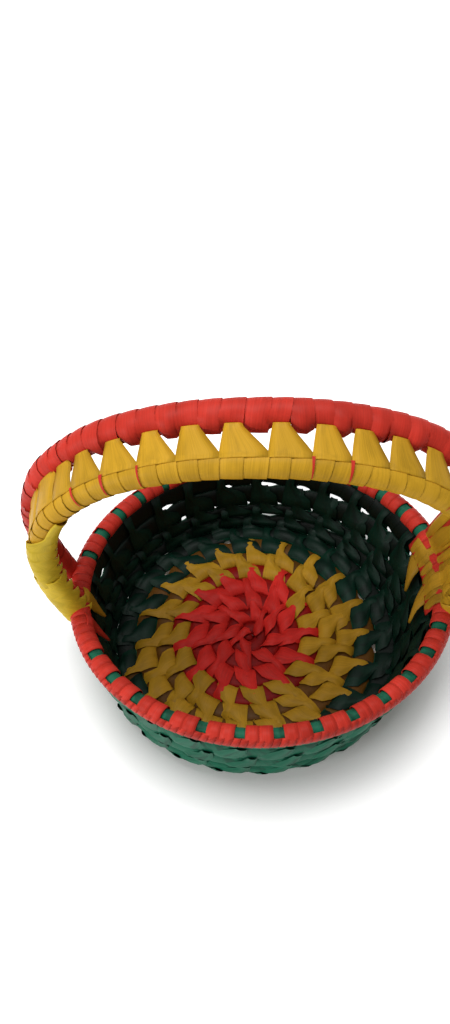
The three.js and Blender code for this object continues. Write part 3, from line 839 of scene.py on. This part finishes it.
class Tree:
    """Makes the nodes of one material or world."""

    def __init__(self, owner):
        owner.use_nodes = True
        self.owner = owner
        self.nodes = owner.node_tree.nodes
        self.links = owner.node_tree.links
        self.nodes.clear()

    def node(self, kind, settings=None, inputs=(), output=0):
        """Makes a node, sets it, fills its sockets in order or by name, and gives back one output."""
        node = self.nodes.new(kind)
        for name, value in (settings or {}).items():
            setattr(node, name, value)
        named = inputs.items() if isinstance(inputs, dict) else enumerate(inputs)
        for key, value in named:
            if isinstance(value, Wire):
                self.links.new(value.socket, node.inputs[key])
            elif value is not None:
                node.inputs[key].default_value = value
        return Wire(self, node.outputs[output]) if node.outputs else node

    def ramp(self, value, low, high):
        """0 below low, 1 above high."""
        inputs = {"Value": value, "From Min": low, "From Max": high}
        return self.node("ShaderNodeMapRange", {"clamp": True}, inputs)

    def mix(self, factor, first, second, blend="MIX"):
        """Colours mixed by a factor; sockets 6 and 7 and output 2 are the Mix node's for colours."""
        settings = {"data_type": "RGBA", "blend_type": blend}
        return self.node("ShaderNodeMix", settings, {0: factor, 6: first, 7: second}, 2)

    def surface(self, inputs):
        """Ends a material in one Principled shader."""
        shader = self.node("ShaderNodeBsdfPrincipled", None, inputs)
        self.node("ShaderNodeOutputMaterial", None, {"Surface": shader})
        return self.owner

    def shows_backdrop(self):
        """1 for rays that show the background: straight from the camera, mirrored or let through."""
        kinds = ("Camera", "Glossy", "Transmission")
        rays = [self.node("ShaderNodeLightPath", output=f"Is {kind} Ray") for kind in kinds]
        camera, glossy, through = rays
        return camera.maths("MAXIMUM", camera, glossy.maths("MAXIMUM", glossy, through))


def shade(colour, factor, white=0.0):
    """A colour made darker or lighter, with some white added."""
    return tuple(min(1, channel * factor + white) for channel in colour) + (1.0,)


def leaf_material(name):
    """Dyed palm leaf: fine fibres, a tone for each strip, worn and stained patches, and painted shade."""
    made = bpy.data.materials.get(f"dyed_{name}")
    if made:
        return made
    look = bpy.context.scene.leaf_look
    base = tuple(getattr(look, name))
    tree = Tree(bpy.data.materials.new(f"dyed_{name}"))
    white_wear, stain = (0.004, 0.75) if name == "green" else (0.02, 0.2)
    leaf = tree.node("ShaderNodeAttribute", {"attribute_name": "leaf"}, (), 1)
    across, along, tone = [tree.node("ShaderNodeSeparateXYZ", None, (leaf,), axis) for axis in range(3)]
    fibre_place = tree.node("ShaderNodeCombineXYZ", None, (across * 2.6, along * 0.05, tone * 40))
    fibres = tree.node("ShaderNodeTexNoise", None, {"Vector": fibre_place, "Scale": 1.0, "Detail": 5.0})
    patch_place = tree.node("ShaderNodeCombineXYZ", None, (across * 0.16, along * 0.07, tone * 70))
    patches = tree.node("ShaderNodeTexNoise", None, {"Vector": patch_place, "Scale": 1.0, "Detail": 3.0})
    streaks = tree.ramp(fibres, 0.3, 0.72)
    worn = tree.ramp(patches, 0.52, 0.8)
    dark = tree.mix(tree.ramp(tone, 0, 1), shade(base, 0.72), shade(base, 1.0))
    light = tree.mix(tree.ramp(tone, 0, 1), shade(base, 1.0), shade(base, 1.25, 0.003))
    dyed = tree.mix(streaks, dark, light)
    paler = tree.mix(worn * 0.35, dyed, shade(base, 1.3, white_wear))
    stains = (1 - tree.ramp(patches, 0.38, 0.5)) * stain
    stained = tree.mix(stains, paler, shade(base, 0.35))
    # Painted shade: the leaf is multiplied by its shade tint where the inside attribute is set
    inside = tree.node("ShaderNodeAttribute", {"attribute_name": "inside"}, (), 2)
    shading = tuple(getattr(look, f"painted_shade_{name}", (1, 1, 1))) + (1,)
    shaded = tree.mix(inside, stained, shading, "MULTIPLY")
    height = fibres * 0.6 + patches * 0.4
    bump = tree.node("ShaderNodeBump", None, {"Height": height, "Strength": 0.25, "Distance": 0.0003})
    surface = {
        "Base Color": shaded,
        "Roughness": look.roughness + 0.14 * fibres,
        "Normal": bump,
        "Specular IOR Level": 0.13,
    }
    return tree.surface(surface)


def build_spiral_core(form):
    """The bundle of leaf ribs that the floor and the wall are wound on."""
    sheet = LeafSheet("core_spiral_ribs")
    first, last = -0.3, form.end_turn() - 0.02
    steps, sides = 1000, 6

    def rod(along, side):
        turn = first + (last - first) * along
        middle, half_width, half_thickness, level = form.row(turn)
        angle = pi * side
        inward = level + half_thickness * 0.45 * sin(angle)
        return form.point(middle + half_width * 0.5 * cos(angle), inward, form.azimuth(turn))

    sheet.strip(steps, sides, (3000, 8), rod)
    bmesh.ops.remove_doubles(sheet.bm, verts=sheet.bm.verts, dist=1e-6)
    bmesh.ops.holes_fill(sheet.bm, edges=[edge for edge in sheet.bm.edges if edge.is_boundary], sides=0)
    bmesh.ops.recalc_face_normals(sheet.bm, faces=sheet.bm.faces)
    piece = sheet.finish("green", "core_spiral")
    piece.data.materials.clear()
    piece.data.materials.append(rib_material())


def rib_material():
    """Bare leaf ribs, seen only where a coil is open."""
    tree = Tree(bpy.data.materials.new("bare_ribs"))
    place = tree.node("ShaderNodeTexCoord", output=3)
    ribs = tree.node("ShaderNodeTexNoise", None, {"Vector": place, "Scale": 900.0, "Detail": 3.0})
    base = tuple(bpy.context.scene.leaf_look.ribs)
    return tree.surface({"Base Color": tree.mix(ribs, shade(base, 0.7), shade(base, 1.1)), "Roughness": 0.7})


# Operators


class BasketOperator:
    bl_options = {"REGISTER", "UNDO"}

    def form(self, context):
        return Form(context.scene.basket_shape, context.scene.rim_shape)


class BASKET_OT_coils(BasketOperator, bpy.types.Operator):
    """Wind the leaf of the floor and the wall, with its stitch tabs"""

    bl_idname = "basket.coils"
    bl_label = "Floor and Wall"

    def execute(self, context):
        build_coils(self.form(context))
        return {"FINISHED"}


class BASKET_OT_rim(BasketOperator, bpy.types.Operator):
    """Wind the rim coil and bind it in red"""

    bl_idname = "basket.rim"
    bl_label = "Rim"

    def execute(self, context):
        build_rim(self.form(context))
        return {"FINISHED"}


class BASKET_OT_handle(BasketOperator, bpy.types.Operator):
    """Wind the handle's coils, join them with tabs and tuck in the strip ends at the feet"""

    bl_idname = "basket.handle"
    bl_label = "Handle"

    def execute(self, context):
        form = self.form(context)
        build_handle(form, context.scene.handle_shape)
        build_feet(form, context.scene.handle_shape)
        return {"FINISHED"}


class BASKET_OT_cores(BasketOperator, bpy.types.Operator):
    """Give the cores their bare leaf ribs"""

    bl_idname = "basket.cores"
    bl_label = "Cores"

    def execute(self, context):
        build_spiral_core(self.form(context))
        ribs = rib_material()
        for node in ("rim_core", "handle_core_back", "handle_core_front"):
            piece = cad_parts[node]
            piece.data.materials.clear()
            piece.data.materials.append(ribs)
        return {"FINISHED"}


class BASKET_OT_stage(BasketOperator, bpy.types.Operator):
    """Set the camera, the lights and the pale floor"""

    bl_idname = "basket.stage"
    bl_label = "Stage"

    def execute(self, context):
        scene = context.scene
        scene.view_settings.view_transform = "Standard"
        build_camera(scene, self.form(context))
        build_floor(scene)
        build_lights(scene)
        return {"FINISHED"}


# Stage

FOCAL_PX = 800.0
FRAME_PX = (450, 1024)
SENSOR_MM = 36.0
CAMERA_DISTANCE = 423.94
CAMERA_ELEVATION = radians(54.79)
RIM_CENTRE_PX = (259.95, 580.79)
CAMERA_ROLL = radians(1.89)
SKY_LEVEL = 0.26
LIT_POINT = Vector((0, 0, 0.06))


def build_camera(scene, form):
    """A close camera above the front, aimed so that the rim's middle falls on its pixel of the photo."""
    back = Vector((0, -cos(CAMERA_ELEVATION), sin(CAMERA_ELEVATION)))
    ahead = -back
    right = Vector((1, 0, 0))
    up = right.cross(ahead)
    x = (RIM_CENTRE_PX[0] - FRAME_PX[0] / 2) / FOCAL_PX
    y = (FRAME_PX[1] / 2 - RIM_CENTRE_PX[1]) / FOCAL_PX
    aim = Vector((x, y, 1)).normalized().rotation_difference(Vector((0, 0, 1))).to_matrix()
    axes = aim.transposed() @ Matrix.Rotation(CAMERA_ROLL, 3, "Z") @ Matrix((right, up, ahead))
    data = bpy.data.cameras.new("camera")
    data.sensor_width = SENSOR_MM
    data.lens = FOCAL_PX / FRAME_PX[1] * SENSOR_MM
    data.clip_start = 0.01
    camera = bpy.data.objects.new("camera", data)
    centre = form.origin + Vector((0, 0, form.shape.rim_height * MM))
    turn = Matrix((axes[0], axes[1], -axes[2])).transposed()
    camera.matrix_world = Matrix.Translation(centre + back * CAMERA_DISTANCE * MM) @ turn.to_4x4()
    scene.collection.objects.link(camera)
    scene.camera = camera


def build_floor(scene):
    """A pale floor that glows white away from the basket and keeps the basket's shadow."""
    near, far = 0.085, 0.15
    bm = bmesh.new()
    bmesh.ops.create_grid(bm, x_segments=1, y_segments=1, size=3)
    mesh = bpy.data.meshes.new("floor")
    bm.to_mesh(mesh)
    bm.free()
    floor = bpy.data.objects.new("floor", mesh)
    scene.collection.objects.link(floor)
    tree = Tree(bpy.data.materials.new("pale_floor"))
    white = (0.93, 0.93, 0.93, 1)
    place = tree.node("ShaderNodeTexCoord", output=3)
    away = tree.node("ShaderNodeVectorMath", {"operation": "LENGTH"}, (place,), 1)
    shown = tree.shows_backdrop() * tree.ramp(away, near, far)
    glow = tree.mix(shown, (0.06, 0.05, 0.045, 1), white)
    surface = {"Base Color": white, "Roughness": 1.0, "Specular IOR Level": 0.0}
    surface.update({"Emission Color": glow, "Emission Strength": 0.9})
    mesh.materials.append(tree.surface(surface))


def build_lights(scene):
    """A white sky that lights only softly, and two lamps, each with its place, size and power."""
    world = bpy.data.worlds.new("world")
    scene.world = world
    tree = Tree(world)
    sky = tree.mix(tree.shows_backdrop(), (SKY_LEVEL, SKY_LEVEL, SKY_LEVEL, 1), (1, 1, 1, 1))
    background = tree.node("ShaderNodeBackground", None, {"Color": sky})
    tree.node("ShaderNodeOutputWorld", None, {"Surface": background})
    lamps = [("key", (-0.1, 0.05, 0.95), 0.45, 4.8), ("fill", (-0.85, -0.6, 0.45), 0.4, 4.6)]
    for name, place, size, power in lamps:
        data = bpy.data.lights.new(name, "AREA")
        data.size = size
        data.energy = power
        lamp = bpy.data.objects.new(name, data)
        lamp.location = place
        aim = LIT_POINT - Vector(place)
        lamp.rotation_euler = aim.to_track_quat("-Z", "Y").to_euler()
        scene.collection.objects.link(lamp)


class BASKET_PT_panel(bpy.types.Panel):
    """The steps of the basket, in order"""

    bl_idname = "BASKET_PT_panel"
    bl_label = "Palm Leaf Basket"
    bl_space_type = "VIEW_3D"
    bl_region_type = "UI"
    bl_category = "Basket"

    def draw(self, context):
        for step in STEPS:
            self.layout.operator(step.bl_idname)


STEPS = (BASKET_OT_coils, BASKET_OT_rim, BASKET_OT_handle, BASKET_OT_cores, BASKET_OT_stage)
GROUPS = {
    "basket_shape": BasketShape,
    "rim_shape": RimShape,
    "handle_shape": HandleShape,
    "leaf_look": LeafLook,
}


def register():
    for name, group in GROUPS.items():
        bpy.utils.register_class(group)
        setattr(bpy.types.Scene, name, bpy.props.PointerProperty(type=group))
    for step in (*STEPS, BASKET_PT_panel):
        bpy.utils.register_class(step)


def unregister():
    for step in (*STEPS, BASKET_PT_panel):
        bpy.utils.unregister_class(step)
    for name, group in GROUPS.items():
        delattr(bpy.types.Scene, name)
        bpy.utils.unregister_class(group)


def main():
    register()
    for step in STEPS:
        family, name = step.bl_idname.split(".")
        getattr(getattr(bpy.ops, family), name)()


if __name__ == "__main__":
    main()
